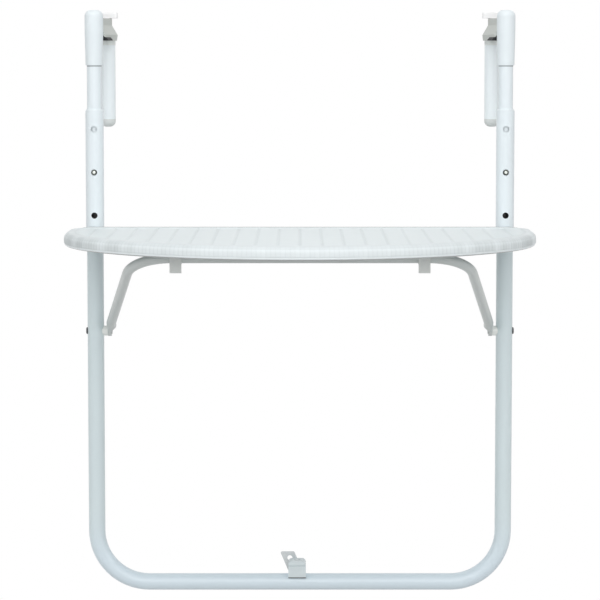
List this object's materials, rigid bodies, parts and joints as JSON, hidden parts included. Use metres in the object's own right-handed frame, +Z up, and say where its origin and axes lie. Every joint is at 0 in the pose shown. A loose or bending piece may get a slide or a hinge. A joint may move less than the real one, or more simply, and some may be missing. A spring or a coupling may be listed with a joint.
{
  "type": "balcony railing table",
  "caption": "Half-round folding table that hangs from a balcony rail by two clamping hooks, with a U-shaped steel frame and a snap-in brace.",
  "frame": {"origin": "midway between the two hooks' rail seats, level with the seats", "axes": "+X along the rail to the right as seen by someone at the table, +Y away from them over the rail, +Z up"},
  "size_m": [0.624, 0.439, 0.7968],
  "materials": {
    "white_steel": "semi-gloss white powder coat",
    "frame_steel": "semi-gloss light grey powder coat",
    "brace_steel": "semi-gloss light grey powder coat",
    "table_plastic": "satin off-white moulding with a woven relief",
    "white_plastic": "satin white moulding",
    "grey_plastic": "satin mid grey moulding",
    "clip_plastic": "satin light grey moulding",
    "pad_rubber": "matte black",
    "zinc_steel": "bright zinc plate",
    "spring_steel": "bare spring steel"
  },
  "bodies": {
    "frame": {"u_frame": "frame_steel", "bracket_block": "clip_plastic", "block_screw": "zinc_steel", "tie_rivet": "zinc_steel", "post_tube_left": "white_steel", "guide_bush_left": "white_plastic", "hinge_tab_left": "white_steel", "spacer_bush_left": "white_plastic", "pivot_rivet_left": "zinc_steel", "post_tube_right": "white_steel", "guide_bush_right": "white_plastic", "hinge_tab_right": "white_steel", "spacer_bush_right": "white_plastic", "pivot_rivet_right": "zinc_steel"},
    "tabletop": {"table_top": "table_plastic", "clip_screws": "zinc_steel", "hinge_pin_left": "zinc_steel", "bar_clip_left": "clip_plastic", "hinge_pin_right": "zinc_steel", "bar_clip_right": "clip_plastic"},
    "brace": {"brace_bar": "brace_steel"},
    "tie": {"tie_plate": "zinc_steel"},
    "mast_left": {"mast_tube_left": "white_steel", "button_spring_left": "spring_steel"},
    "button_left": {"height_button_left": "zinc_steel"},
    "hook_left": {"hook_cap_left": "white_plastic", "rail_bridge_left": "grey_plastic", "bridge_pin_left": "zinc_steel", "rail_pad_left": "pad_rubber"},
    "jaw_left": {"rear_arm_left": "white_steel", "arm_plug_left": "grey_plastic", "arm_end_cap_left": "grey_plastic"},
    "knob_left": {"clamp_screw_left": "zinc_steel", "clamp_knob_left": "white_plastic"},
    "mast_right": {"mast_tube_right": "white_steel", "button_spring_right": "spring_steel"},
    "button_right": {"height_button_right": "zinc_steel"},
    "hook_right": {"hook_cap_right": "white_plastic", "rail_bridge_right": "grey_plastic", "bridge_pin_right": "zinc_steel", "rail_pad_right": "pad_rubber"},
    "jaw_right": {"rear_arm_right": "white_steel", "arm_plug_right": "grey_plastic", "arm_end_cap_right": "grey_plastic"},
    "knob_right": {"clamp_screw_right": "zinc_steel", "clamp_knob_right": "white_plastic"}
  },
  "joints": [
    {"name": "table_fold", "type": "hinge", "parent": "frame", "child": "tabletop", "pos_m": [0, -0.061, -0.2663], "axis": [1, 0, 0], "range_deg": [0, 90], "deforming": ["bar_clip_left", "bar_clip_right"]},
    {"name": "brace_fold", "type": "hinge", "parent": "frame", "child": "brace", "pos_m": [0, -0.04, -0.3962], "axis": [1, 0, 0], "range_deg": [0, 118]},
    {"name": "tie_swing", "type": "hinge", "parent": "frame", "child": "tie", "pos_m": [-0.008, -0.0287, -0.728], "axis": [0, 1, 0], "range_deg": [-60, 60]},
    {"name": "height_left", "type": "slide", "parent": "frame", "child": "mast_left", "axis": [0, 0, 1], "range_m": [-0.0586, 0.0586], "deforming": ["button_spring_left", "height_button_left"]},
    {"name": "button_press_left", "type": "slide", "parent": "mast_left", "child": "button_left", "axis": [0, 1, 0], "range_m": [0, 0.004], "stiffness_N_per_m": 1500, "springref_m": -0.001, "deforming": ["button_spring_left"]},
    {"name": "hook_swivel_left", "type": "hinge", "parent": "mast_left", "child": "hook_left", "pos_m": [-0.2795, -0.04, 0], "axis": [0, 0, -1], "range_deg": [-9, 81]},
    {"name": "jaw_slide_left", "type": "slide", "parent": "hook_left", "child": "jaw_left", "axis": [-0.1564, -0.9877, 0], "range_m": [0, 0.03]},
    {"name": "knob_turn_left", "type": "hinge", "parent": "jaw_left", "child": "knob_left", "pos_m": [-0.2673, 0.03704, 0], "axis": [0, 0, 1], "continuous": true},
    {"name": "height_right", "type": "slide", "parent": "frame", "child": "mast_right", "axis": [0, 0, 1], "range_m": [-0.0586, 0.0586], "deforming": ["button_spring_right", "height_button_right"]},
    {"name": "button_press_right", "type": "slide", "parent": "mast_right", "child": "button_right", "axis": [0, 1, 0], "range_m": [0, 0.004], "stiffness_N_per_m": 1500, "springref_m": -0.001, "deforming": ["button_spring_right"]},
    {"name": "hook_swivel_right", "type": "hinge", "parent": "mast_right", "child": "hook_right", "pos_m": [0.2795, -0.04, 0], "axis": [0, 0, 1], "range_deg": [-9, 81]},
    {"name": "jaw_slide_right", "type": "slide", "parent": "hook_right", "child": "jaw_right", "axis": [0.1564, -0.9877, 0], "range_m": [0, 0.03]},
    {"name": "knob_turn_right", "type": "hinge", "parent": "jaw_right", "child": "knob_right", "pos_m": [0.2673, 0.03704, 0], "axis": [0, 0, 1], "continuous": true}
  ],
  "couplings": [
    {"joint": "brace_fold", "follows": "table_fold", "ratio": 1.3112}
  ]
}
